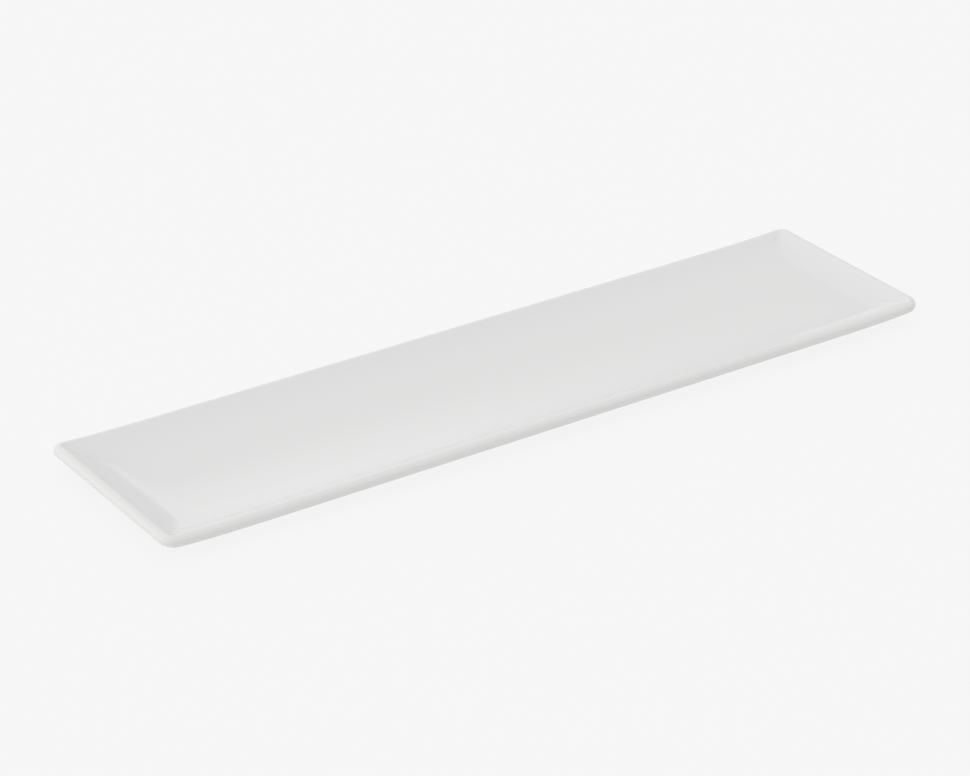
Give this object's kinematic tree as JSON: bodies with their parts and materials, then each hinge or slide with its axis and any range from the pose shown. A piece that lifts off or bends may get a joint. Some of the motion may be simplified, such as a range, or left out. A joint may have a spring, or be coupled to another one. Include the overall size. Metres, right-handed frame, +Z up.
{
  "type": "olive dish",
  "caption": "Long narrow white porcelain dish with a flat floor, a softly upturned rim, a round lip and a low bare foot ring, for olives and other small bites.",
  "frame": {"origin": "middle of the foot ring's bare face, on the surface that the dish stands on", "axes": "+X along the dish's length, +Y across it, +Z up out of the well"},
  "size_m": [0.31, 0.08, 0.01],
  "materials": {
    "bare_porcelain": "fired white porcelain without glaze, ground smooth on the foot ring",
    "glaze": "clear glossy glaze over white porcelain"
  },
  "bodies": {
    "root": {"porcelain_body": "bare_porcelain", "face_glaze": "glaze", "base_glaze": "glaze"}
  },
  "joints": []
}
